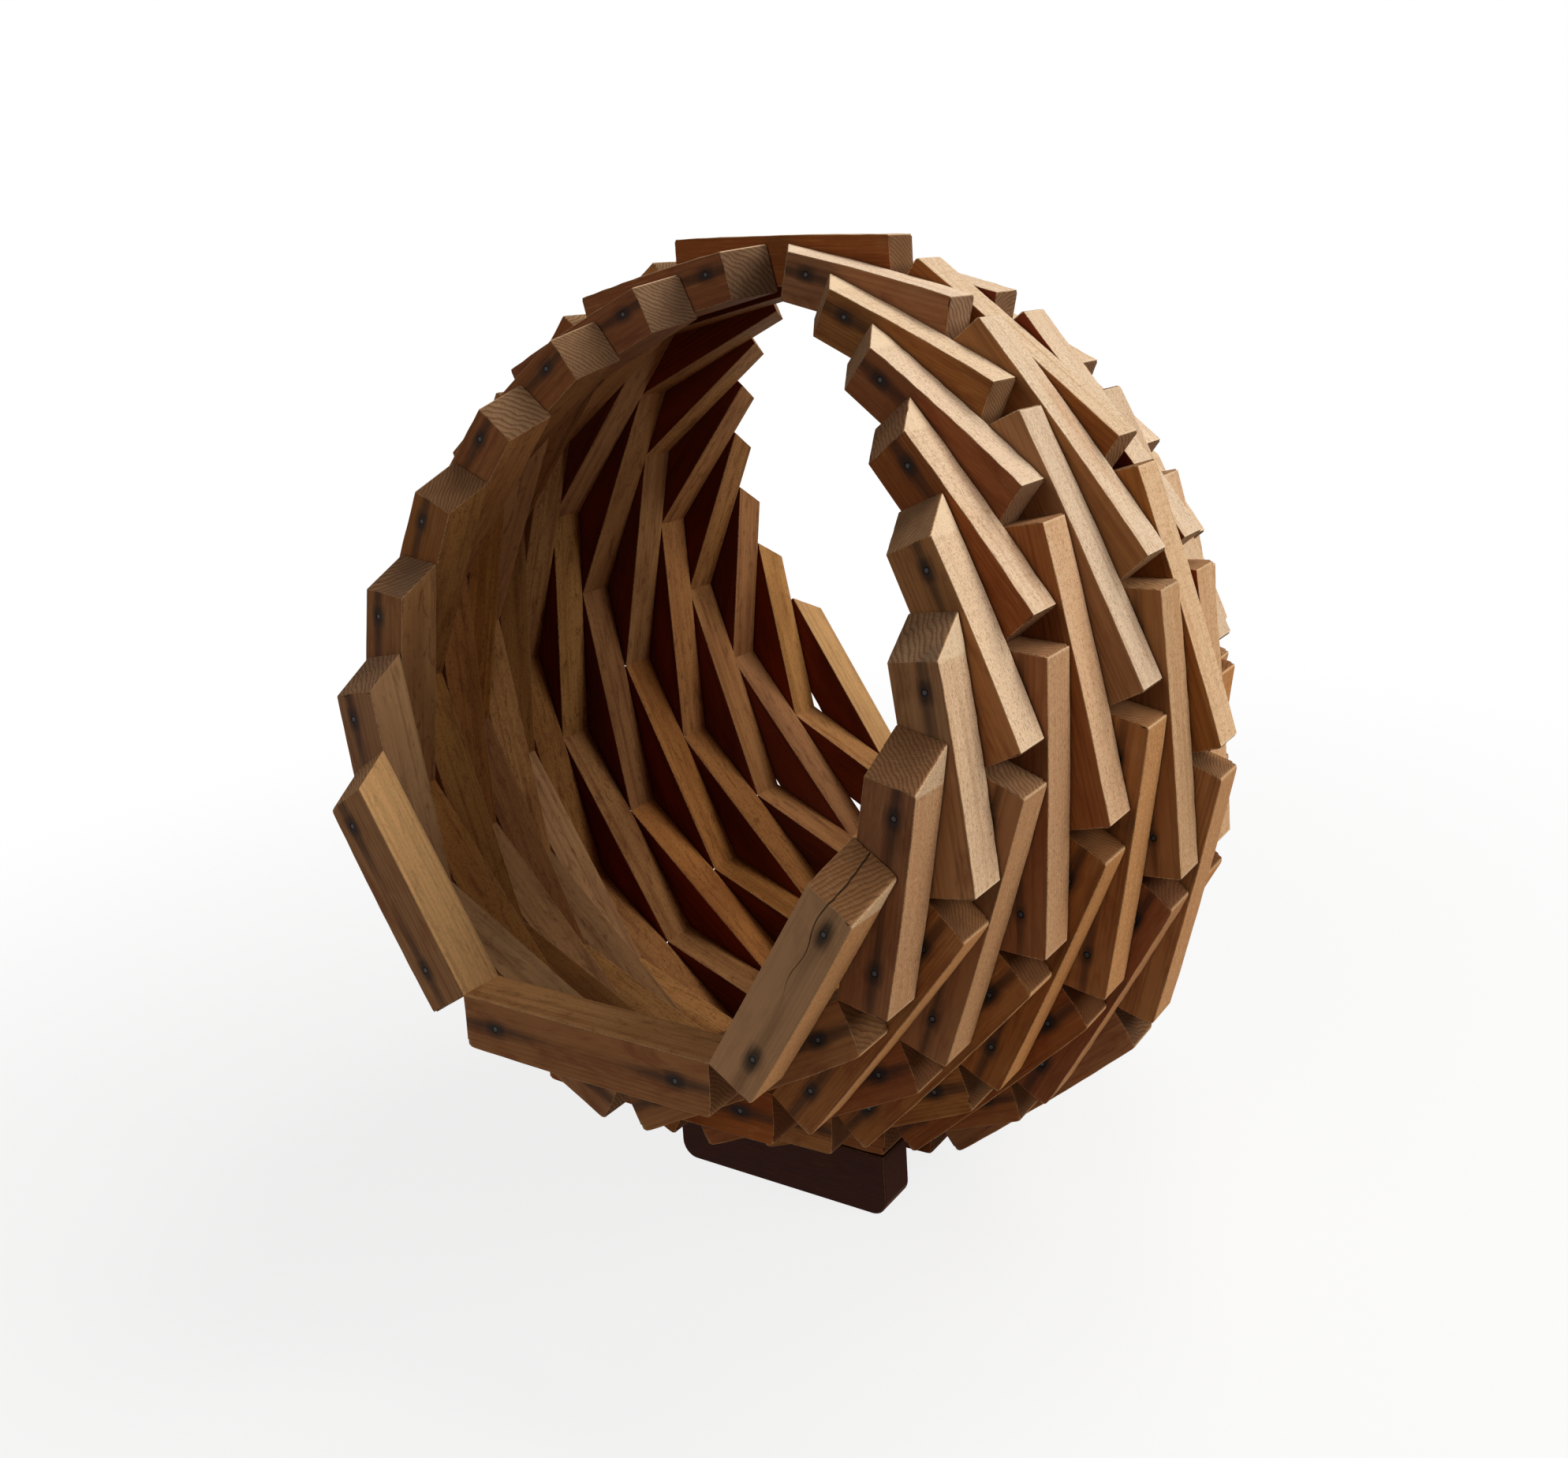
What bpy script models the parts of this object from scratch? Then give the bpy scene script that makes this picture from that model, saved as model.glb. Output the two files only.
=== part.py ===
"""A ball-shaped basket of square-cut redwood sticks, nailed up course upon course, on two feet."""
import math

import bmesh
import bpy
from mathutils import Matrix

for old in list(bpy.data.objects):
    bpy.data.objects.remove(old, do_unlink=True)
for old in list(bpy.data.collections):
    bpy.data.collections.remove(old)

# Sticks: depth runs from the inner face to the outer one, thickness along the basket.
stick_depth = 0.025
stick_thickness = 0.0202
middle_stick_length = 0.1358
rim_stick_extra = 0.0079
extra_power = 4.6
outer_crown = 0.0012
edge_bevel = 0.0006
crown_cuts = 3

# Courses: the first is the front opening, the middle one is a whole ring, the last is the back opening.
courses = 17
middle = courses // 2
rim_sticks = 3
ring_sticks = 10
course_gap = 0.0003
end_gap = 0.0004
pitch = stick_thickness + course_gap
basket_length = courses * pitch - course_gap

# Turn from one stick of a course to the next. The rings are a little taller than wide, because their
# sticks lean towards upright, and the level stick that closes the middle ring lies above the closing corners.
middle_turn = 2 * math.pi / ring_sticks
rim_turn = math.radians(55.1)
turn_power = 1.33
upright_lean = math.radians(2.2)
top_stick_lift = 0.006

# The underside of the courses rises towards both openings.
foot_drop = 0.0095
bottom_rise = 0.1187
bow_share = 0.18
bow_power = 3.65

# The upper ends at the rim are cut short and on a slant, each side a little differently.
right_cut = 0.0387
right_inner_cut = 0.0227
left_cut = 0.0364
left_inner_cut = 0.0228
odd_course_cut = 0.0010

# Nails: their shanks hold the end of a stick to the middle of the next course's stick.
nail_diameter = 0.0022
nail_depth = 0.0080
nail_sides = 8
nail_from_end = 0.0190
rim_nail_from_end = 0.0125
rim_nail_outward_share = 0.15

# Feet: one batten under each of two courses.
foot_course = 6
foot_length = 0.133
foot_corner = 0.009
foot_corner_steps = 4

tans = (
    (0.42, 0.24, 0.13),
    (0.36, 0.20, 0.11),
    (0.46, 0.28, 0.16),
    (0.32, 0.17, 0.09),
    (0.39, 0.25, 0.15),
)
foot_brown = (0.16, 0.08, 0.045)

basket = bpy.data.collections.new("wooden_stick_basket")
helpers = bpy.data.collections.new("joined_pieces")
bpy.context.scene.collection.children.link(basket)
bpy.context.scene.collection.children.link(helpers)
helpers.hide_render = True


def from_middle(course):
    """Number of courses between this one and the middle one, 0 for the middle."""
    return abs(course - middle)


def turn(course):
    return middle_turn + (rim_turn - middle_turn) * (from_middle(course) / middle) ** turn_power


def inner_length(course):
    return middle_stick_length + rim_stick_extra * (from_middle(course) / middle) ** extra_power


def underside(course):
    out = from_middle(course) / middle
    return foot_drop + bottom_rise * ((1 - bow_share) * out + bow_share * out**bow_power)


def steps(course):
    """Half turns from the bottom at which the sticks of a course lie, from the left rim to the right."""
    if course == middle:
        return range(2 - ring_sticks, ring_sticks + 1, 2)
    last = rim_sticks - 1 + middle - from_middle(course)
    return range(-last, last + 1, 2)


def heading(course, step):
    """Angle between a stick and the level, a little nearer to upright than in an even ring."""
    even = turn(course) * step / 2
    return even + upright_lean * math.sin(2 * even)


def lowest(course, step):
    """Height of the inner faces at the bottom: where a corner is lowest, it hangs below the round of the ring."""
    inner_radius = inner_length(course) / (2 * math.tan(turn(course) / 2))
    hang = inner_radius / math.cos(turn(course) / 2) - inner_radius
    return underside(course) + stick_depth - hang * (step % 2)


def laid(course, step):
    """x and z of the middle of a stick's inner face, with the sticks laid end to end from the bottom upwards."""
    across, up = 0, lowest(course, step)
    for last in range(2 - step % 2, abs(step) + 1, 2):
        for each in (last - 2, last):
            if each >= 0:
                across += inner_length(course) / 2 * math.cos(heading(course, each))
                up += inner_length(course) / 2 * math.sin(heading(course, each))
    if course == middle and step == ring_sticks:
        up += top_stick_lift
    return math.copysign(across, step), up


def frame(course, step):
    """Local x runs along the stick, y through the courses, z from its inner face to the middle of the ring."""
    across, up = laid(course, step)
    front = course * pitch - basket_length / 2
    return Matrix.Translation((across, front, up)) @ Matrix.Rotation(-heading(course, step), 4, "Y")


def ends(course, step):
    """Local x of the left and the right end, each on the face away from the middle and the one towards it."""
    half = (inner_length(course) - end_gap) / 2
    left, right = [-half, -half], [half, half]
    odd = odd_course_cut * (course % 2)
    if course != middle and step == steps(course)[0]:
        left = [-half + left_cut + odd, -half + left_inner_cut + odd]
    if course != middle and step == steps(course)[-1]:
        right = [half - right_cut - odd, half - right_inner_cut - odd]
    return left, right


def add(name, bm, collection, colour):
    mesh = bpy.data.meshes.new(name)
    bm.to_mesh(mesh)
    bm.free()
    obj = bpy.data.objects.new(name, mesh)
    collection.objects.link(obj)
    if collection is helpers:
        obj.hide_render = True
        obj.display_type = "WIRE"
        return obj
    material = bpy.data.materials.new(name)
    material.use_nodes = True
    shader = material.node_tree.nodes["Principled BSDF"]
    shader.inputs["Base Color"].default_value = (*colour, 1)
    shader.inputs["Roughness"].default_value = 0.7
    mesh.materials.append(material)
    return obj


def soften(obj):
    """Takes the sharpness off the sawn edges."""
    bevel = obj.modifiers.new("edge", "BEVEL")
    bevel.width = edge_bevel
    bevel.segments = 1
    bevel.limit_method = "ANGLE"


def add_stick(name, course, step, collection, colour):
    left, right = ends(course, step)
    bm = bmesh.new()
    bmesh.ops.create_cube(bm, size=1)
    for cut in range(1, crown_cuts + 1):
        everything = bm.verts[:] + bm.edges[:] + bm.faces[:]
        place = (cut / (crown_cuts + 1) - 0.5, 0, 0)
        bmesh.ops.bisect_plane(bm, geom=everything, plane_co=place, plane_no=(1, 0, 0))
    for vertex in bm.verts:
        along, through, depth = (value + 0.5 for value in vertex.co)
        towards_middle = through if course <= middle else 1 - through
        start = left[0] + (left[1] - left[0]) * towards_middle
        finish = right[0] + (right[1] - right[0]) * towards_middle
        x = start + (finish - start) * along
        bulge = outer_crown * (1 - depth) * (1 - (2 * along - 1) ** 2)
        vertex.co = (x, stick_thickness * through, -stick_depth * (1 - depth) - bulge)
    obj = add(name, bm, collection, colour)
    obj.matrix_world = frame(course, step)
    soften(obj)
    return obj


def add_nail(name, course, step, side):
    """The shank through the left (0) or right (1) end of a stick into the course nearer the middle."""
    at_rim = course != middle and step == steps(course)[-side]
    outer_end = ends(course, step)[side][0]
    inset = rim_nail_from_end if at_rim else nail_from_end
    x = outer_end + inset * (1 - 2 * side)
    outward = stick_depth * (0.5 + rim_nail_outward_share * at_rim)
    y = stick_thickness + course_gap / 2 if course < middle else -course_gap / 2
    bm = bmesh.new()
    bmesh.ops.create_cone(
        bm,
        cap_ends=True,
        segments=nail_sides,
        radius1=nail_diameter / 2,
        radius2=nail_diameter / 2,
        depth=2 * nail_depth,
        matrix=Matrix.Rotation(math.pi / 2, 4, "X"),
    )
    obj = add(name, bm, helpers, None)
    place = Matrix.Translation((x, y, -outward))
    obj.matrix_world = frame(course, step) @ place
    return obj


def unite(obj, other):
    union = obj.modifiers.new(other.name, "BOOLEAN")
    union.operation = "UNION"
    union.solver = "EXACT"
    union.object = other


def add_group(name, first, others, nails, colour):
    """One stick with those nailed to it: the others and the nails that hold them are joined on."""
    obj = add_stick(name, *first, basket, colour)
    for number, (course, step, side) in enumerate(nails, 1):
        unite(obj, add_nail(f"{name}_nail{number}", course, step, side))
    for number, (course, step) in enumerate(others, 1):
        unite(obj, add_stick(f"{name}_stick{number}", course, step, helpers, None))


def add_courses(course):
    """This course and the next, stick by stick: each right end is nailed over the next course's stick."""
    label = f"sticks_{course + 1:02d}_{course + 2:02d}"
    growing = course < middle
    for number, step in enumerate(steps(course), 1):
        behind = step + 1
        others = [(course + 1, behind)]
        nails = [(course, step, 1)] if growing else [(course + 1, behind, 0)]
        if growing and number == 1:
            others.append((course + 1, step - 1))
            nails.append((course, step, 0))
        if course == middle and behind > steps(course + 1)[-1]:
            others = [(course + 1, steps(course + 1)[0])]
            nails = [(course + 1, steps(course + 1)[0], 0)]
        elif not growing and step == steps(course)[-1]:
            break
        elif course > middle and step == steps(course)[-2]:
            others.append((course, step + 2))
            nails.append((course + 1, behind, 1))
        colour = tans[(2 * number + course) % len(tans)]
        add_group(f"{label}_no{number:02d}", (course, step), others, nails, colour)


for pair in range(0, courses - 1, 2):
    add_courses(pair)
for number, step in enumerate(steps(courses - 1), 1):
    add_stick(f"stick_{courses}_no{number:02d}", courses - 1, step, basket, tans[number])

for name, course in (("front_foot", foot_course), ("back_foot", courses - 1 - foot_course)):
    height = underside(course) - outer_crown - course_gap
    bm = bmesh.new()
    bmesh.ops.create_cube(bm, size=1)
    for vertex in bm.verts:
        along, through, up = vertex.co
        vertex.co = (foot_length * along, stick_thickness * (through + 0.5), height * (up + 0.5))
    lower_ends = [
        edge
        for edge in bm.edges
        if all(vertex.co.z == 0 for vertex in edge.verts)
        and edge.verts[0].co.x == edge.verts[1].co.x
    ]
    bmesh.ops.bevel(
        bm,
        geom=lower_ends,
        offset=foot_corner,
        segments=foot_corner_steps,
        profile=0.5,
        affect="EDGES",
    )
    foot = add(name, bm, basket, foot_brown)
    foot.location.y = course * pitch - basket_length / 2
    soften(foot)
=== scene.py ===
"""A ball-shaped basket of square-cut redwood sticks, nailed up course upon course, on two feet."""
import math

import bpy
import numpy as np
from mathutils import Matrix, Vector


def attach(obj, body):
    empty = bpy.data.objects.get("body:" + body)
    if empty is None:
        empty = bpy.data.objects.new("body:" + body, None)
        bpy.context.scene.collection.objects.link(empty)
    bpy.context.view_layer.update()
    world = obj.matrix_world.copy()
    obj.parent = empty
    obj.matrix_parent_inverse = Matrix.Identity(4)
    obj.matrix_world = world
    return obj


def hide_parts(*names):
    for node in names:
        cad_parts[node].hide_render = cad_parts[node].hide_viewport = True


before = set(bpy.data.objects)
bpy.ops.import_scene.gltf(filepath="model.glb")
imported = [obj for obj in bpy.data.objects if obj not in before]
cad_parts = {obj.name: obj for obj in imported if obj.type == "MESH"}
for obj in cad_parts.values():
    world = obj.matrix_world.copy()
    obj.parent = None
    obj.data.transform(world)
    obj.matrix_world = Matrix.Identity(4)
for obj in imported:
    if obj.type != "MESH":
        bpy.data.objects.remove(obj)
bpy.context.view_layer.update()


# The lay-out of the courses. Seventeen lie one behind the other, the middle one a whole ring of ten sticks.
# Each nearer an opening is turned half a step and sits higher, and from the ring's neighbours outwards has
# one stick fewer. Rings are a little taller than wide, and the ring's top stick lies above its corners.
depth = 0.025
thickness = 0.0202
course_gap = 0.0003
pitch = thickness + course_gap
courses = 17
middle = courses // 2
rim_sticks = 3
ring_sticks = 10
basket_length = courses * pitch - course_gap
middle_stick_length = 0.1358
rim_stick_extra = 0.0079
extra_power = 4.6
middle_turn = 2 * math.pi / ring_sticks
rim_turn = math.radians(55.1)
turn_power = 1.33
upright_lean = math.radians(2.2)
top_stick_lift = 0.006
foot_drop = 0.0095
bottom_rise = 0.1187
bow_share = 0.18
bow_power = 3.65


def outward(course):
    """0 at the middle course, 1 at the two openings."""
    return abs(course - middle) / middle


def turn(course):
    """Angle between one stick of a course and the next, larger towards the openings."""
    return middle_turn + (rim_turn - middle_turn) * outward(course) ** turn_power


def inner_length(course):
    """Length of a stick's inner face from corner to corner, a little more at the openings."""
    return middle_stick_length + rim_stick_extra * outward(course) ** extra_power


def underside(course):
    """Height of the lowest outer face: it rises evenly from the middle, and faster near the openings."""
    out = outward(course)
    return foot_drop + bottom_rise * ((1 - bow_share) * out + bow_share * out**bow_power)


def steps(course):
    """Half turns from the bottom at which a course's sticks lie, from the left rim to the right."""
    if course == middle:
        return range(2 - ring_sticks, ring_sticks + 1, 2)
    last = rim_sticks - 1 + middle - abs(course - middle)
    return range(-last, last + 1, 2)


def heading(course, step):
    """Angle of a stick from the level, a little nearer to upright than in an even ring."""
    even = turn(course) * step / 2
    return even + upright_lean * math.sin(2 * even)


def laid(course, step):
    """Middle of a stick's inner face. The sticks of a course are laid end to end from the lowest point, and
    where that is a corner, it hangs below the round of the ring."""
    half = inner_length(course) / 2
    radius = half / math.tan(turn(course) / 2)
    hang = radius / math.cos(turn(course) / 2) - radius
    lasts = range(2 - step % 2, abs(step) + 1, 2)
    path = [heading(course, stick) for last in lasts for stick in (last - 2, last) if stick >= 0]
    across = half * sum(math.cos(angle) for angle in path)
    up = half * sum(math.sin(angle) for angle in path)
    if course == middle and step == ring_sticks:
        up += top_stick_lift
    y = course * pitch + (thickness - basket_length) / 2
    return math.copysign(across, step), y, underside(course) + depth - hang * (step % 2) + up


def turned(course, step, vectors):
    """Vectors with x along the stick, y through the courses and z inwards, turned about y by its heading."""
    angle = heading(course, step)
    x, y, z = vectors.T
    along, inwards = math.cos(angle), math.sin(angle)
    return np.stack([x * along - z * inwards, y, x * inwards + z * along], axis=-1)


def on_stick(course, step, points):
    """Points measured from the middle of a stick, turned and set where the stick lies."""
    return turned(course, step, points - np.array([0, 0, depth / 2])) + np.array(laid(course, step))


# The sticks. Each is square-sawn redwood with nearly sharp edges; the outer face is slightly crowned, the
# ends are cross-cut by hand and a little frayed, and the ends at the rim are cut short and on a slant.
right_cut, right_inner_cut = 0.0389, 0.0229
left_cut, left_inner_cut = 0.0366, 0.0230
odd_course_cut = 0.0010
edge_round = 0.0005
head_proud = 0.00015
crown = 0.0009
wave_height = 0.00007
wave_turns, wave_starts = np.array([7, 13, 23]), np.array([0, 1, 2])
damp_height, damp_fade = 0.27, 0.12
worn_least, worn_by_damp = 0.0007, 0.0026
worn_tilt = 0.9
fray_least, fray_spread = 0.00008, 0.00012
splinter, splinter_share = 0.0008, 0.04
unfrayed_share = 0.15
drawn_back = 0.0007
end_roughness = 0.00003
side_points = 7
stations = 34
crowding = 0.88
cap_sizes = np.array([0.975, 0.9, 0.72, 0.5, 0.27])


def stick_section():
    """y and z of the points round the section, and the way that each faces: three points on a quarter circle
    of edge_round at every corner, and side_points on the straight from each corner to the next."""
    half = np.array([thickness / 2 - head_proud, depth / 2])
    signs = np.array([[1, -1], [1, 1], [-1, 1], [-1, -1]])
    angle = (np.arange(4)[:, None] - 1 + np.array([0, 0.5, 1])) * math.pi / 2
    normals = np.stack([np.cos(angle), np.sin(angle)], axis=-1)
    corners = (signs * (half - edge_round))[:, None] + edge_round * normals
    start, finish = corners[:, 2:], np.roll(corners, -1, axis=0)[:, :1]
    share = np.arange(1, side_points + 1)[:, None] / (side_points + 1)
    places = np.concatenate([corners, start + (finish - start) * share], axis=1)
    ways = np.concatenate([normals, np.repeat(normals[:, 2:], side_points, axis=1)], axis=1)
    return places.reshape(-1, 2), ways.reshape(-1, 2)


section, facing = stick_section()
around = len(section)


def ends(course, step):
    """x of the left and the right end, each on the face away from the middle and on the one towards it."""
    half = inner_length(course) / 2
    left, right = [-half, -half], [half, half]
    odd = odd_course_cut * (course % 2)
    if course != middle and step == steps(course)[0]:
        left = [-half + left_cut + odd, -half + left_inner_cut + odd]
    if course != middle and step == steps(course)[-1]:
        right = [half - right_cut - odd, half - right_inner_cut - odd]
    return left, right


def end_slope(slant):
    """How far an end runs along the stick for each metre across its thickness."""
    low, high = section[:, 0].argmin(), section[:, 0].argmax()
    return (slant[high] - slant[low]) / (section[high, 0] - section[low, 0])


def end_x(y, slant):
    """An end is sawn straight across the thickness, so x follows y from one face to the other."""
    return slant[section[:, 0].argmin()] + end_slope(slant) * (y - section[:, 0].min())


def lowness(course, step):
    """0 for the upper sticks, 1 for those near the ground, which are worn by damp, darker and more widely
    stained.
    """
    return float(np.clip((damp_height - laid(course, step)[2]) / damp_fade, 0, 1))


def quads(index):
    """Each cell of a grid of point numbers that closes round the section becomes one face, facing out."""
    across = np.roll(index, -1, axis=1)
    return np.stack([across[:-1], across[1:], index[1:], index[:-1]], axis=-1).reshape(-1, 4)


def stick_surface(course, step, chance):
    """Rings of the section at stations that crowd towards both ends, x running from the left end's slant to
    the right end's. The outer side bulges by crown * (1 - u * u) and its ends are worn round on a quarter
    circle; the end rings draw back a little and fray by chance, and rings that shrink to a point close each
    end. Returns points, normals, quads and triangles."""
    left, right = ends(course, step)
    line = np.linspace(-1, 1, stations)
    u = (crowding * np.sin(line * math.pi / 2) + (1 - crowding) * line)[:, None]
    y, z = section.T
    towards = 0.5 + (y if course <= middle else -y) / thickness
    start = left[0] + (left[1] - left[0]) * towards
    finish = right[0] + (right[1] - right[0]) * towards
    outer = 0.5 - z / depth
    on_outer_face = outer > 0.98
    wave = chance.normal(0, wave_height, 3) * np.sin(wave_turns * u + wave_starts)
    z = z - crown * outer * (1 - u**2) + wave.sum(axis=1, keepdims=True) * on_outer_face
    x = start + (finish - start) * (u + 1) / 2
    worn = worn_least + worn_by_damp * lowness(course, step)
    into = np.clip(1 - np.minimum(x - start, finish - x) / worn, 0, 1)
    z = z + worn * (1 - np.sqrt(1 - into**2)) * outer**4
    tilt = worn_tilt * into * outer**4 * np.sign(u)

    half = inner_length(course) / 2
    meeting = np.array([[left[0] == -half], [right[0] == half]])
    fray = fray_least + np.abs(chance.normal(0, fray_spread, (2, around)))
    fray += splinter * (chance.random((2, around)) > 1 - splinter_share)
    fray *= np.where(meeting, np.clip(outer - unfrayed_share, 0, 1), 1.0)
    fray += meeting * outer * drawn_back
    x[0] += fray[0]
    x[-1] -= fray[1]
    rings = np.stack([x, np.broadcast_to(y, x.shape), z], axis=-1)
    level = np.sqrt(1 - tilt**2)
    side = np.stack([tilt, facing[:, 0] * level, facing[:, 1] * level], axis=-1)

    points, normals = [rings.reshape(-1, 3)], [side.reshape(-1, 3)]
    index = np.arange(stations * around).reshape(stations, around)
    four, three = [quads(index)], []
    count = index.size
    for row, sign, slant in ((0, -1, start), (-1, 1, finish)):
        centre = rings[row].mean(axis=0)
        loops = centre + (rings[row] - centre) * cap_sizes[:, None, None]
        loops[..., 0] = end_x(loops[..., 1], slant) + chance.normal(0, end_roughness, loops.shape[:2])
        centre[0] = end_x(centre[1], slant)
        points += [loops.reshape(-1, 3), centre[None]]
        flat = np.array([sign, -sign * end_slope(slant), 0])
        inside = around * len(cap_sizes)
        normals.append(np.tile(flat / np.linalg.norm(flat), (inside + 1, 1)))
        rows = np.concatenate([index[row][None], np.arange(inside).reshape(-1, around) + count])
        count += inside
        last = rows[-1][::sign]
        four.append(quads(rows[::sign]))
        three.append(np.stack([last, np.roll(last, -1), np.full(around, count)], axis=1))
        count += 1
    return np.concatenate(points), np.concatenate(normals), np.concatenate(four), np.concatenate(three)


class Wire:
    """An output of a shader node. Arithmetic on it adds Math nodes, and node() adds any other."""

    def __init__(self, tree, socket=None):
        self.tree = tree
        self.socket = socket

    def node(self, kind, settings=None, out=0, **values):
        """A node of this type: settings are set first, then its inputs, named i0, i1 by number or by name."""
        made = self.tree.nodes.new(kind)
        for key, value in (settings or {}).items():
            setattr(made, key, value)
        for key, value in values.items():
            socket = made.inputs[int(key[1:]) if key[1:].isdigit() else key]
            if isinstance(value, Wire):
                self.tree.links.new(value.socket, socket)
            else:
                socket.default_value = value
        return Wire(self.tree, made.outputs[out])

    def math(self, operation, *values):
        """A Math node with these values."""
        inputs = {f"i{number}": value for number, value in enumerate(values)}
        return self.node("ShaderNodeMath", {"operation": operation}, **inputs)

    def __add__(self, other):
        return self.math("ADD", self, other)

    def __sub__(self, other):
        return self.math("SUBTRACT", self, other)

    def __rsub__(self, other):
        return self.math("SUBTRACT", other, self)

    def __mul__(self, other):
        return self.math("MULTIPLY", self, other)

    def __truediv__(self, other):
        return self.math("DIVIDE", self, other)

    __radd__ = __add__
    __rmul__ = __mul__

    def power(self, exponent):
        """A power of what is above zero."""
        return self.math("POWER", self.larger(0.0), exponent)

    def larger(self, other):
        return self.math("MAXIMUM", self, other)

    def smaller(self, other):
        return self.math("MINIMUM", self, other)

    def size(self):
        """The value without its sign."""
        return self.math("ABSOLUTE", self)

    def between(self, low, high):
        """0 below low and 1 above high, smooth between; the other way round where low is the larger."""
        return self.node("ShaderNodeMapRange", {"interpolation_type": "SMOOTHSTEP"}, i0=self, i1=low, i2=high)

    def times(self, factors):
        """A vector with each part multiplied by its own factor."""
        return self.node("ShaderNodeVectorMath", {"operation": "MULTIPLY"}, i0=self, i1=factors)

    def plus(self, other):
        """The sum of two vectors."""
        return self.node("ShaderNodeVectorMath", {"operation": "ADD"}, i0=self, i1=other)

    def parts(self):
        """The three parts of a vector."""
        split = self.node("ShaderNodeSeparateXYZ", i0=self).socket.node
        return [Wire(self.tree, socket) for socket in split.outputs]

    def noise(self, detail=2.0, rough=0.5, warp=0.0):
        """Noise from 0 to 1 at this place, which already carries its scale."""
        look = {"Scale": 1.0, "Detail": detail, "Roughness": rough, "Distortion": warp}
        return self.node("ShaderNodeTexNoise", Vector=self, **look)

    def plain(self, colour):
        """One colour, as the first of a row of mixes."""
        made = self.node("ShaderNodeRGB")
        made.socket.default_value = colour
        return made

    def mix(self, other, share):
        """This colour with a share of the other."""
        return self.node("ShaderNodeMix", {"data_type": "RGBA"}, out=2, i0=share, i6=self, i7=other)

    def coats(self, *layers):
        """This colour under coats of paint, each with the share by which it covers what is below."""
        colour = self
        for tint, share in layers:
            colour = colour.mix(paint(*tint), share)
        return colour


def paint(red, green, blue):
    """A colour as it is seen, 0 to 255, turned into the light that the shader works with."""
    shares = [value / 255 for value in (red, green, blue)]
    return tuple(v / 12.92 if v <= 0.04045 else ((v + 0.055) / 1.055) ** 2.4 for v in shares) + (1,)


# What the wood reads at every point: its place on its own stick and the way it faces there; the stick's
# chance tone, shade and wear; the rings' centre and width; the nails' x, x and z; how far each end is; and its
# place in the basket: a darkening low down and on the sticks at the ends of each course, a painted light by
# height, which pales the upper faces and leaves a painted shade on the lower ones, and nearness to a rim,
# which carries a painted light on the inner faces there.
wood_words = ("grain", "side", "lot", "heart", "nails", "tips", "height_and_rim")


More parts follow.
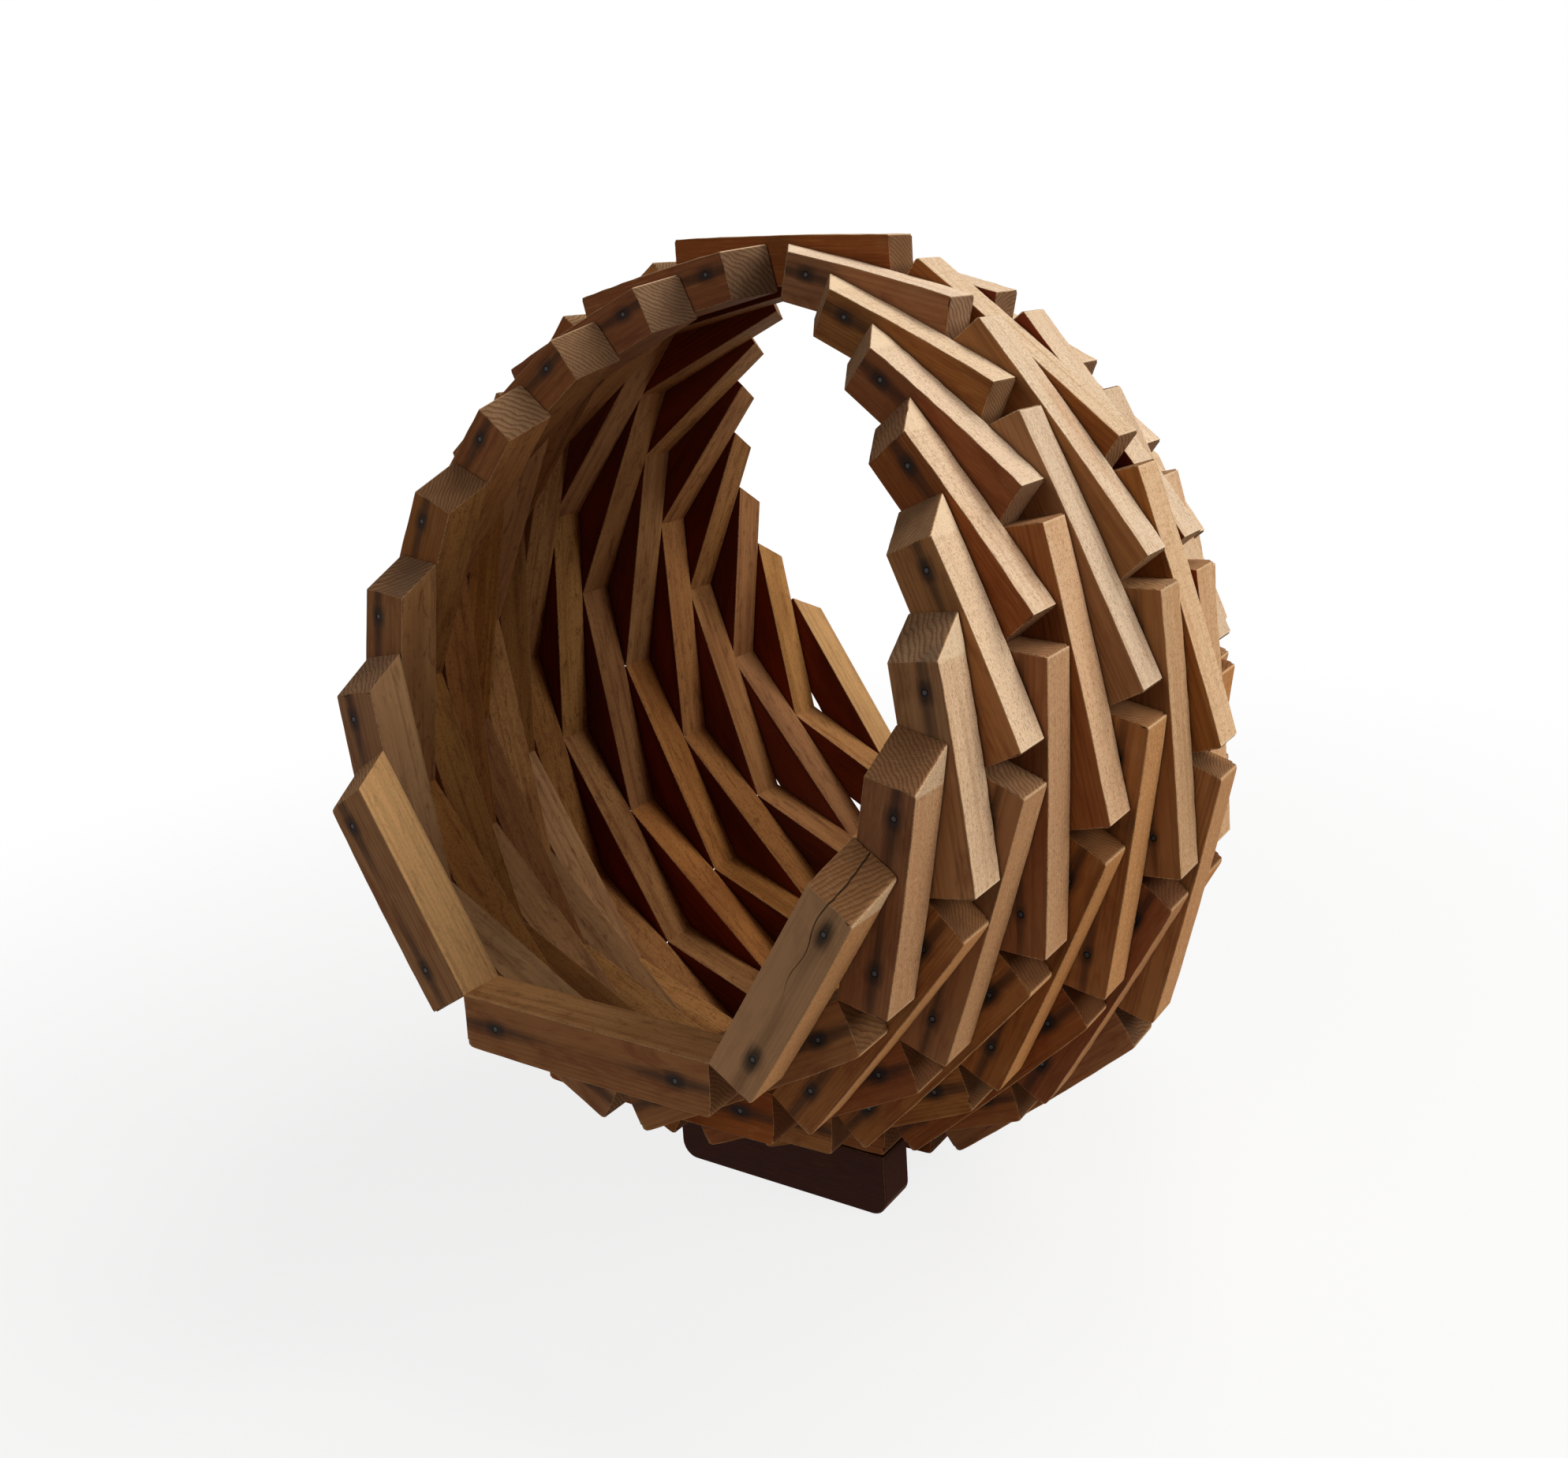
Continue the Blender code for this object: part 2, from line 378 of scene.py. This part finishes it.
def wood(name, nail_face, sawn_face, inner_face, end_grain, back_face, painted_shade=0.0):
    """Redwood as a solid texture on the stick's own place: rings round a far heart, fibres drawn out along
    the grain, pale sawn outer faces with flecks, kerf lines on the ends, and iron stain round the nails."""
    material = bpy.data.materials.new(name)
    material.use_nodes = True
    tree = material.node_tree
    shader = tree.nodes["Principled BSDF"]
    start = Wire(tree)

    read = [start.node("ShaderNodeAttribute", {"attribute_name": word}, out=1) for word in wood_words]
    place, side, lot, heart, nails, tips, height_and_rim = read
    x, y, z = place.parts()
    facing_end, facing_through, facing_out = side.parts()
    tone, shade, wear = lot.parts()
    heart_y, heart_z, ring_width = heart.parts()
    left_nail, right_nail, nail_z = nails.parts()
    from_left, from_right, _ = tips.parts()
    darkening, painted_height_light, rim = height_and_rim.parts()
    own = place.plus(lot.times((31.0, 17.0, 23.0)))
    weathered = wear.between(0.93, 0.97)

    cut_end = facing_end.size().between(0.5, 0.8)
    outer = facing_out.between(-0.55, -0.9)
    inner = facing_out.between(0.55, 0.9)
    nailed = facing_through.between(-0.55, -0.9)
    covered = facing_through.between(0.55, 0.9)
    long_edge = 1 - facing_out.size().larger(facing_through.size()).between(0.8, 0.995)
    long_edge = long_edge * (1 - cut_end)

    # rings, fibres and blotches
    sway = own.times((9.0, 60.0, 60.0)).noise(2.0) - 0.5
    off_y, off_z = y - heart_y, z - heart_z
    away = (off_y * off_y + off_z * off_z).power(0.5) + sway * 0.0016
    years = own.times((1.5, 130.0, 130.0)).noise(1.0)
    turns = away / ring_width + years * 1.7
    ring = turns.math("FRACT", turns)
    late = ring.between(0.35, 0.9) * ring.between(1.0, 0.93)
    late = late * own.times((3.0, 170.0, 170.0)).noise(2.0).between(0.3, 0.7)
    fibre = own.times((55.0, 1500.0, 1500.0)).noise(3.0, 0.65)
    streak = own.times((7.0, 240.0, 240.0)).noise(3.0, 0.6)
    cloud = own.times((12.0, 45.0, 45.0)).noise(2.0)
    fleck = own.times((520.0, 1500.0, 1500.0)).noise(3.0, 0.75, 0.3)
    ripple = own.times((900.0, 60.0, 60.0)).noise(3.0, 0.65)
    grit = own.times((1500.0, 1500.0, 1500.0)).noise(2.0, 0.6)
    uneven = own.times((30.0, 110.0, 110.0)).noise(4.0, 0.65, 0.5)
    torn = own.times((70.0, 260.0, 260.0)).noise(4.0, 0.7, 0.8)

    # nail faces: planed by the saw, uneven in tone, greyed at the rim and darker on the low sticks and on
    # those at the ends of each course
    greyed = (rim * 0.45).larger(wear.between(0.6, 0.85) * cloud.between(0.45, 0.8) * 0.3)
    face = start.plain(paint(*nail_face)).coats(
        ((196, 150, 108), weathered * 0.85),
        ((158, 124, 96), greyed * (1 - weathered)),
        ((112, 54, 28), uneven.between(0.45, 0.7) * (darkening * 0.35 + 0.25) * (1 - weathered * 0.6)),
        ((184, 132, 88), uneven.between(0.42, 0.28) * 0.35),
        ((92, 48, 26), late * (0.36 - weathered * 0.2)),
        ((104, 54, 30), streak.between(0.5, 0.78) * (0.5 - weathered * 0.3)),
        ((206, 152, 100), fibre.between(0.52, 0.8) * 0.4),
        ((112, 58, 32), fleck.between(0.6, 0.75) * shade * 0.4),
    )

    # sawn outer faces: paler, granular, with short torn flecks, soft marks across the grain and torn tips; a
    # painted light makes the upper ones cream, and a painted shade leaves the lower ones a deeper gold
    tip = from_left.smaller(from_right)
    rough = start.plain(paint(*sawn_face)).coats(
        ((192, 128, 76), (1 - painted_height_light) * 0.65),
        ((252, 232, 204), painted_height_light * 0.7),
        ((172, 114, 64), late * 0.22),
        ((148, 92, 48), fleck.between(0.53, 0.66) * 0.65),
        ((250, 214, 168), fleck.between(0.46, 0.3) * 0.45),
        ((168, 110, 60), ripple.between(0.5, 0.75) * (shade.between(0.3, 0.9) * 0.25 + 0.05)),
        ((150, 98, 58), grit.between(0.5, 0.68) * 0.35),
        ((176, 116, 66), streak.between(0.48, 0.75) * 0.3),
        ((184, 124, 72), cloud.between(0.5, 0.8) * 0.35),
        # torn tips: pale frayed fibres, with a painted highlight where they catch the light
        ((248, 222, 184), tip.between(0.0022, 0.0004) * grit.between(0.35, 0.55) * 0.65),
    )

    # inner faces: smoother and browner, with streaks and torn places; near a rim they carry a painted light
    # that makes them paler and less marked
    flecked = shade.between(0.2, 0.7) * 0.55 + 0.2
    smooth = start.plain(paint(*inner_face)).coats(
        ((238, 188, 128), rim.power(1.5) * 0.85),
        ((104, 56, 24), late * 0.25),
        ((104, 56, 24), streak.between(0.46, 0.7) * (0.5 - rim * 0.3)),
        ((206, 150, 86), fibre.between(0.5, 0.8) * 0.3),
        ((84, 44, 18), fleck.between(0.5, 0.7) * flecked * (1 - rim * 0.7)),
        ((88, 46, 20), torn.between(0.5, 0.68) * (0.55 - rim * 0.4)),
        ((214, 160, 98), grit.between(0.55, 0.7) * 0.3),
        ((104, 58, 26), cloud.between(0.42, 0.72) * (0.5 - rim * 0.3)),
    )

    # cross-cut ends: ring arcs, uneven torn saw lines at a slant, some of them browned
    along_kerf = y * (tone * 0.5 + 0.6) + z * (shade * 1.2 - 0.3) + sway * 0.0015
    kerf = {"i0": along_kerf * 3000.0, "i1": (y - z) * 220.0, "i2": tone * 40.0}
    kerf = start.node("ShaderNodeCombineXYZ", **kerf).noise(2.0, 0.6)
    cut = start.plain(paint(*end_grain)).coats(
        # a painted light pales the upper ends
        ((222, 182, 138), painted_height_light * 0.55),
        ((96, 56, 32), ring.between(0.3, 0.85) * ring.between(1.0, 0.93) * 0.6),
        ((100, 60, 34), kerf.between(0.48, 0.7) * 0.3),
        ((214, 176, 130), kerf.between(0.46, 0.3) * grit.between(0.4, 0.6) * 0.35),
        # darker on the low sticks and on those at the ends of each course, less so near the openings
        ((78, 44, 26), darkening * (cloud.between(0.3, 0.7) * 0.35 + 0.4) * (1 - rim)),
        ((92, 54, 34), shade.between(0.5, 0.9) * 0.35),
        ((120, 98, 78), cloud.between(0.5, 0.7) * wear.between(0.3, 0.9) * 0.45),
    )

    # the faces turned to the next course, which show in the recesses of the far half, carry a painted shade of
    # those recesses: a deep, dark red
    painted_recess_shade = start.plain(paint(*back_face)).coats(
        ((166, 70, 26), cloud.between(0.35, 0.65) * 0.4),
        ((64, 26, 14), late * 0.5),
        ((142, 84, 46), fibre.between(0.5, 0.8) * 0.45),
    )

    colour = face.mix(painted_recess_shade, covered).mix(rough, outer).mix(smooth, inner).mix(cut, cut_end)
    colour = colour.node(
        "ShaderNodeHueSaturation",
        Color=colour,
        Value=(tone - 0.5) * (inner * 0.25 + 0.22) + (cloud - 0.5) * 0.16 + 1.0,
        Saturation=(shade - 0.5) * 0.12 + 1.0,
        Hue=(wear - 0.5) * 0.004 + 0.5,
    )
    # pale fibres frayed along the long edges, with a painted highlight where these edges catch the light
    colour = colour.coats(((232, 190, 140), long_edge * grit.between(0.35, 0.55) * 0.6))
    # a coat of painted shade over the whole surface, used for the feet that stand in the basket's shadow
    if painted_shade:
        colour = colour.coats(((46, 14, 6), painted_shade))

    # the weathered stick has dried open along its grain from its upper end
    bow = x.math("SINE", x * 210.0) * 0.0009
    crack_way = z - 0.0012 - (x - 0.03) * 0.05 + bow + (streak - 0.5) * 0.0012
    crack_width = (x + 0.025).power(1.0) * 0.0045 + 0.00002
    crack = crack_way.size().between(crack_width * 1.7, crack_width * 0.7)
    crack = crack * weathered * (nailed + cut_end).between(0.2, 0.6) * x.between(-0.024, -0.01)

    # iron stain: black round each nail and drawn out along the grain, wider where the basket stood damp
    stains, holes = [], []
    reach = darkening * 0.0014 + 0.0027
    for nail_x in (left_nail, right_nail):
        along, over = x - nail_x, z - nail_z
        bent = over + (streak - 0.5) * 0.0036 + (fibre - 0.5) * 0.003
        core = (along * along * 0.22 + bent * bent).power(0.5).between(reach * 1.6, reach * 0.35)
        tail = (along * along * 0.009 + bent * bent).power(0.5).between(reach * 1.2, reach * 0.2)
        stains.append(core.larger(tail * (0.75 - weathered * 0.4)))
        holes.append((along * along + over * over).power(0.5).between(0.0021, 0.0014))
    stain = stains[0].larger(stains[1]) * nailed * (darkening * 0.25 + 0.75)
    hole = holes[0].larger(holes[1]) * nailed
    colour = colour.coats(((34, 22, 15), crack * 0.9), ((27, 22, 22), stain * 0.96), ((12, 9, 9), hole))

    relief = fibre * 0.35 + late * -0.25
    relief = relief + outer * (fleck * 1.3 + ripple * 0.8 + grit * 0.5)
    relief = relief + inner * (fleck * 1.2 + grit * 0.6 + torn * 2.0)
    relief = relief + cut_end * (kerf * 1.2 + grit * 0.7) - hole * 2.0 - crack * 3.0
    bump = colour.node("ShaderNodeBump", Strength=0.6, Distance=0.00025, Height=relief)
    roughness = 0.62 + outer * 0.16 + cut_end * 0.12 + fibre * 0.1
    tree.links.new(colour.socket, shader.inputs["Base Color"])
    tree.links.new(roughness.socket, shader.inputs["Roughness"])
    tree.links.new(bump.socket, shader.inputs["Normal"])
    shader.inputs["Specular IOR Level"].default_value = 0.1
    return material


# Each lot of sticks has its colours for the nail face, the sawn outer face, the inner face, the cut end and
# the face turned to the next course; the last is a dark red, a painted shade of the recesses where it shows.
lots = {
    "tan": ((170, 114, 68), (232, 186, 132), (186, 134, 82), (172, 124, 80), (104, 40, 15)),
    "brown": ((158, 100, 58), (225, 176, 120), (174, 120, 70), (158, 108, 66), (98, 36, 14)),
    "light": ((178, 124, 76), (238, 196, 146), (194, 144, 92), (182, 136, 92), (110, 44, 18)),
    "russet": ((152, 90, 50), (220, 168, 114), (168, 112, 64), (152, 100, 60), (94, 34, 13)),
    "honey": ((164, 108, 62), (230, 182, 126), (182, 130, 78), (166, 118, 74), (102, 38, 15)),
}
woods = {f"stick_{tone}": wood(f"{tone}_redwood", *colours) for tone, colours in lots.items()}
slots = list(woods)


# Laying up the courses. Each node of the frame is two or three sticks nailed to one another, one from each of
# two courses; here every stick is its own surface, and a node's sticks make up one piece.
most_chance = np.array([1, 1, 0.9])
# Three sticks of the front rim have their lot given: the weathered one low on the right, the bottom one, and
# the lowest on the left, whose high tone is a painted light on it.
chosen_lots = {(0, 2): (0.85, 0.3, 1.0), (0, -2): (0.9, 0.6, 0.4), (0, 0): (0.75, 0.4, 0.3)}
rim_darkening = 0.8
# The height above which the faces carry a painted light that pales them, and the rise over which it fades in;
# below it the outer faces carry a painted shade.
lit_height, lit_fade = 0.22, 0.16
rim_reach, level_rim = 0.25, 0.2
heart_angles, heart_distances = (0.25, 1.25), (0.03, 0.11)
ring_widths = (0.0013, 0.0026)
nail_from_end = 0.0190
rim_nail_from_end = 0.0125
rim_nail_outward = 0.15 * depth
not_seen = 9.0


def nail_places(course, step):
    """x of the left and the right nail and their height from the middle of the stick, and not_seen for x
    where no head is seen: on the middle ring, and high up except at the rims."""
    if course == middle:
        return not_seen, not_seen, 0.0
    left, right = ends(course, step)
    at_left, at_right = step == steps(course)[0], step == steps(course)[-1]
    low = lowness(course, step) > 0
    left_x = left[0] + (rim_nail_from_end if at_left else nail_from_end)
    right_x = right[0] - (rim_nail_from_end if at_right else nail_from_end)
    out = -rim_nail_outward if at_left or at_right else 0.0
    return left_x if low or at_left else not_seen, right_x if low or at_right else not_seen, out


def wood_values(course, step, chance, points, normals):
    """Rows for each of wood_words, one row for each point of a stick. The courses behind the middle are
    mirror images, so y is turned about there, and the rings' centre lies well outside the stick."""
    flip = np.array([1, 1 if course <= middle else -1, 1])
    angle = chance.uniform(*heart_angles) * chance.choice([-1, 1]) + math.pi * chance.integers(0, 2)
    far = chance.uniform(*heart_distances)
    heart = (far * math.sin(angle), far * math.cos(angle), chance.uniform(*ring_widths))
    lot = chance.random(3) * most_chance
    left, right = ends(course, step)
    tips = np.stack([points[:, 0] - left[0], right[0] - points[:, 0], np.zeros(len(points))], axis=1)
    at_rim = step in (steps(course)[0], steps(course)[-1])
    # a painted light by height: 1 on the high sticks, whose faces are painted paler, 0 on the low ones, whose
    # outer faces carry a painted shade
    painted_height_light = np.clip((laid(course, step)[2] - lit_height) / lit_fade, 0, 1)
    upright = abs(math.sin(heading(course, step)))
    # Nearness to a rim, most on the upright sticks of the sides: it carries a painted light on the inner faces
    # there, and the wear that greys the nail faces.
    near_rim = np.clip(1 - (1 - outward(course)) / rim_reach, 0, 1)
    rim = near_rim * (level_rim + (1 - level_rim) * upright)
    height_and_rim = (max(lowness(course, step), rim_darkening * at_rim), painted_height_light, rim)
    lot = chosen_lots.get((course, step), lot)
    rows = (points * flip, normals * flip, lot, heart, nail_places(course, step), tips, height_and_rim)
    return [np.broadcast_to(row, points.shape) for row in rows]


def remember(mesh, values):
    """Keeps the rows of each of wood_words as an attribute of the mesh's points, for the wood to read."""
    for word, rows in zip(wood_words, values):
        layer = mesh.attributes.new(word, "FLOAT_VECTOR", "POINT")
        layer.data.foreach_set("vector", np.asarray(rows, np.float32).ravel())


def put(name, data):
    """An object of this mesh, lamp or camera, linked to the scene."""
    made = bpy.data.objects.new(name, data)
    bpy.context.collection.objects.link(made)
    return made


def lay(node, slot, members):
    """One mesh of the members' surfaces, each turned to its place, with the seven values the wood reads. Every
    stick has a seed of its own, so that one can change and leave the others as they are."""
    points, normals, values, faces, count = [], [], [], [], 0
    for course, step in members:
        chance = np.random.default_rng(1000 * course + 10 * (step + 20))
        local, ways, four, three = stick_surface(course, step, chance)
        values.append(wood_values(course, step, chance, local, ways))
        points.append(on_stick(course, step, local))
        normals.append(turned(course, step, ways))
        faces += (four + count).tolist() + (three + count).tolist()
        count += len(local)
    mesh = bpy.data.meshes.new(f"{node}_wood")
    mesh.from_pydata(np.concatenate(points), [], faces)
    remember(mesh, [np.concatenate(rows) for rows in zip(*values)])
    mesh.shade_smooth()
    mesh.normals_split_custom_set_from_vertices(np.concatenate(normals))
    mesh.materials.append(woods[slot])
    piece = put(f"{node}_wood", mesh)
    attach(piece, "root")
    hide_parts(node)


for course in range(0, courses - 1, 2):
    for number, step in enumerate(steps(course), 1):
        behind = step + 1
        if course == middle and behind > steps(course + 1)[-1]:
            behind = steps(course + 1)[0]
        members = [(course, step), (course + 1, behind)]
        if course < middle and number == 1:
            members.append((course + 1, step - 1))
        if course > middle and step == steps(course)[-1]:
            break
        if course > middle and step == steps(course)[-2]:
            members.append((course, step + 2))
        node = f"sticks_{course + 1:02d}_{course + 2:02d}_no{number:02d}"
        lay(node, slots[(2 * number + course) % len(slots)], members)
for number, step in enumerate(steps(courses - 1), 1):
    lay(f"stick_{courses}_no{number:02d}", slots[number], [(courses - 1, step)])


# The nails. Finishing nails of plain steel fix both ends of a stick to the sticks of the next course. They are
# driven a little below the face, so that each shows only a small, dished, round head.
head_radius = 0.00105
head_sides = 12
head_profile = np.array([[1.0, -0.0004], [1.0, -0.00006], [0.88, -0.00001], [0.45, -0.0001], [0.0, -0.00013]])
steel = bpy.data.materials.new("nail_steel")
steel.use_nodes = True
steel_tree = steel.node_tree
rust = Wire(steel_tree).node("ShaderNodeTexCoord", out=3).times((900.0, 900.0, 900.0)).noise(3.0, 0.6)
head_colour = rust.plain(paint(46, 43, 42)).coats(((58, 36, 24), rust.between(0.5, 0.7) * 0.8))
steel_shader = steel_tree.nodes["Principled BSDF"]
steel_tree.links.new(head_colour.socket, steel_shader.inputs["Base Color"])
steel_tree.links.new((rust * 0.35 + 0.3).socket, steel_shader.inputs["Roughness"])
steel_shader.inputs["Metallic"].default_value = 0.5


def nail_heads(name, members):
    """Each head is a profile turned round its nail, its rows a share of head_radius and a height from the
    face: up from under the face, over a rim and down to a dish."""
    angle = np.arange(head_sides) * 2 * math.pi / head_sides
    radius = head_profile[:-1, 0, None] * head_radius
    points, faces, count = [], [], 0
    for course, step in members:
        *places, out = nail_places(course, step)
        sign = -1 if course < middle else 1
        y = sign * (thickness / 2 + head_profile[:, 1])
        for x in places:
            if x == not_seen:
                continue
            flat_x, flat_z = x + radius * np.cos(angle), out - sign * radius * np.sin(angle)
            rings = np.stack([flat_x, np.broadcast_to(y[:-1, None], flat_x.shape), flat_z], axis=-1)
            local = np.concatenate([rings.reshape(-1, 3), [[x, y[-1], out]]])
            index = np.arange(flat_x.size).reshape(flat_x.shape) + count
            last, count = index[-1], count + len(local)
            dish = np.stack([last, np.roll(last, -1), np.full(head_sides, count - 1)], axis=1)
            faces += quads(index).tolist() + dish.tolist()
            points.append(on_stick(course, step, local))
    mesh = bpy.data.meshes.new(name)
    mesh.from_pydata(np.concatenate(points), [], faces)
    mesh.shade_smooth()
    mesh.materials.append(steel)
    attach(put(name, mesh), "root")


for course in range(courses):
    showing = [(course, step) for step in steps(course) if min(nail_places(course, step)[:2]) < not_seen]
    if showing:
        nail_heads(f"nail_heads_{course + 1:02d}", showing)


# The feet. Two battens of redwood, as thick as the sticks and rounded at their lower corners, carry the
# basket; their dark colours are a painted shade of the shadow they stand in. Each lies under the lowest stick
# of one course and runs across the basket.
foot_course = 6
foot_length = 0.133
foot_under_sticks = 0.0015
foot_corner = 0.009
foot_edge = 0.0006
corner_points, rise_points, top_points, base_points = 9, 5, 14, 22
foot_closing = (0.2, 0.5, 0.8, 1)
foot_colours = ((70, 34, 22), (80, 42, 27), (76, 40, 26), (84, 48, 32), (70, 34, 22))
foot_wood = wood("redwood_in_painted_shade", *foot_colours, painted_shade=0.8)


def foot(name, course):
    """The outline seen from the front, its two lower corners rounded, is repeated along y. The rings at both
    faces are drawn in by foot_edge for softened edges, and smaller ones close the ends."""
    height, half = underside(course) - foot_under_sticks, foot_length / 2
    angle = np.linspace(0, math.pi / 2, corner_points)
    lower = np.stack([half - foot_corner * (1 - np.sin(angle)), foot_corner * (1 - np.cos(angle))], axis=1)
    up = np.linspace(foot_corner, height - foot_edge, rise_points + 1)[1:]
    rise = np.stack([np.full(rise_points, half), up], axis=1)
    top = np.stack([np.linspace(half - foot_edge, 0, top_points), np.full(top_points, height)], axis=1)
    right = np.concatenate([lower, rise, top])
    across = np.linspace(foot_corner - half, half - foot_corner, base_points + 2)[1:-1]
    base = np.stack([across, np.zeros(base_points)], axis=1)
    outline = np.concatenate([right, right[-2::-1] * [-1, 1], base]) - [0, height / 2]
    drawn_in = 1 - foot_edge / np.array([half, height / 2])
    rings = [(0, drawn_in * share) for share in foot_closing]
    straight = (foot_edge, 0.3 * thickness, 0.7 * thickness, thickness - foot_edge)
    rings += [(y, np.ones(2)) for y in straight]
    rings += [(thickness, drawn_in * share) for share in foot_closing[::-1]]
    local = np.concatenate([np.insert(outline * size, 1, y - thickness / 2, axis=1) for y, size in rings])
    index = np.arange(len(local)).reshape(len(rings), -1)
    caps = [index[0][::-1].tolist(), index[-1].tolist()]
    place = np.array([0, course * pitch + (thickness - basket_length) / 2, height / 2])
    mesh = bpy.data.meshes.new(name)
    mesh.from_pydata(local + place, [], quads(index)[:, ::-1].tolist() + caps)

    on_face = np.abs(local[:, 1]) > thickness / 2 - foot_edge / 2
    at_end = (np.abs(local[:, 0]) > half - foot_edge) & ~on_face
    side = np.sign(local) * np.stack([at_end, on_face, ~at_end & ~on_face], axis=1)
    none = (not_seen, not_seen, 0)
    rows = (local, side, (0.4, 0.5, 0.3), (0.05, 0.04, 0.0019), none, none, (1, 0, 0))
    remember(mesh, [np.broadcast_to(row, local.shape) for row in rows])
    mesh.materials.append(foot_wood)
    piece = put(name, mesh)
    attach(piece, "root")
    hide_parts(name.replace("_batten", ""))


foot("front_foot_batten", foot_course)
foot("back_foot_batten", courses - 1 - foot_course)


# The studio. A plain pale floor lies under a white surround. Wide soft lamps stand to the right and above, as
# windows do, with a weak one in front, and the camera stands where the photograph was taken.
scene = bpy.context.scene
scene.view_settings.view_transform = "Standard"
sensor_width = 36
image_width, image_height = 1988, 1848
focal_pixels = 1876
optical_centre = (1448, 533)
azimuth, look_down, roll = (math.radians(angle) for angle in (25.44, 7.49, 1.51))
camera = bpy.data.cameras.new("camera")
camera.sensor_width = sensor_width
camera.lens = sensor_width * focal_pixels / image_width
camera.shift_x = (image_width / 2 - optical_centre[0]) / image_width
camera.shift_y = (optical_centre[1] - image_height / 2) / image_width
camera.clip_start = 0.01
viewer = put("camera", camera)
viewer.location = (0.489, -0.614, 0.494)
aimed = Matrix.Rotation(azimuth, 3, "Z") @ Matrix.Rotation(math.pi / 2 - look_down, 3, "X")
viewer.rotation_euler = (aimed @ Matrix.Rotation(-roll, 3, "Z")).to_euler()
scene.camera = viewer


def looked_at(tree):
    """1 for what the camera sees, directly or in a shiny surface, and 0 for light that falls on the basket."""
    rays = Wire(tree).node("ShaderNodeLightPath").socket.node.outputs
    names = ("Is Camera Ray", "Is Glossy Ray", "Is Transmission Ray")
    direct, mirrored, through = (Wire(tree, rays[name]) for name in names)
    return direct.larger(mirrored.larger(through))


floor_half = 6.0
floor_corners = [(x * floor_half, y * floor_half, 0) for x, y in ((-1, -1), (1, -1), (1, 1), (-1, 1))]
floor_mesh = bpy.data.meshes.new("floor")
floor_mesh.from_pydata(floor_corners, [], [(0, 1, 2, 3)])
put("floor", floor_mesh)
floor_paint = bpy.data.materials.new("floor_paint")
floor_paint.use_nodes = True
floor_tree = floor_paint.node_tree
on_view = looked_at(floor_tree)
beyond = on_view.node("ShaderNodeTexCoord", out=3)
far_off = beyond.node("ShaderNodeVectorMath", {"operation": "LENGTH"}, out=1, i0=beyond)
floor_colour = on_view.plain((0.6, 0.55, 0.49, 1)).mix((0.1, 0.1, 0.1, 1), far_off.between(0.35, 0.9))
floor_colour = floor_colour.mix((0.9, 0.9, 0.9, 1), on_view)
matt = floor_tree.nodes["Principled BSDF"]
matt.inputs["Roughness"].default_value = 0.9
matt.inputs["Specular IOR Level"].default_value = 0.1
floor_tree.links.new(floor_colour.socket, matt.inputs["Base Color"])
glow = on_view.node("ShaderNodeEmission")
glow_share = on_view * (far_off.between(0.3, 1.0) * 0.17 + 0.83)
lit = on_view.node("ShaderNodeMixShader", i0=glow_share, i1=Wire(floor_tree, matt.outputs[0]), i2=glow)
floor_tree.links.new(lit.socket, floor_tree.nodes["Material Output"].inputs["Surface"])
floor_mesh.materials.append(floor_paint)

world = bpy.data.worlds.new("surround")
scene.world = world
world.use_nodes = True
world_tree = world.node_tree
on_view = looked_at(world_tree)
sky = on_view.plain((0.02, 0.02, 0.02, 1)).mix((1, 1, 1, 1), on_view)
world_tree.links.new(sky.socket, world_tree.nodes["Background"].inputs["Color"])

aim = Vector((0, 0, 0.25))
daylight, lamplight = (1.0, 0.99, 0.97), (1.0, 0.96, 0.92)
for name, place, width, length, power, colour in (
    ("window", (1.85, 0.15, 1.05), 0.9, 1.0, 17, daylight),
    ("high_window", (1.1, 0.75, 1.75), 0.7, 0.9, 12, daylight),
    ("skylight", (0.25, 0.65, 2.13), 0.7, 0.7, 14.5, daylight),
    ("room", (-0.45, -1.7, 1.25), 1.2, 1.2, 6.5, lamplight),
):
    light = bpy.data.lights.new(name, "AREA")
    light.shape, light.size, light.size_y = "RECTANGLE", width, length
    light.energy, light.color = power, colour
    lamp = put(name, light)
    lamp.location = place
    lamp.rotation_euler = (aim - Vector(place)).to_track_quat("-Z", "X").to_euler()
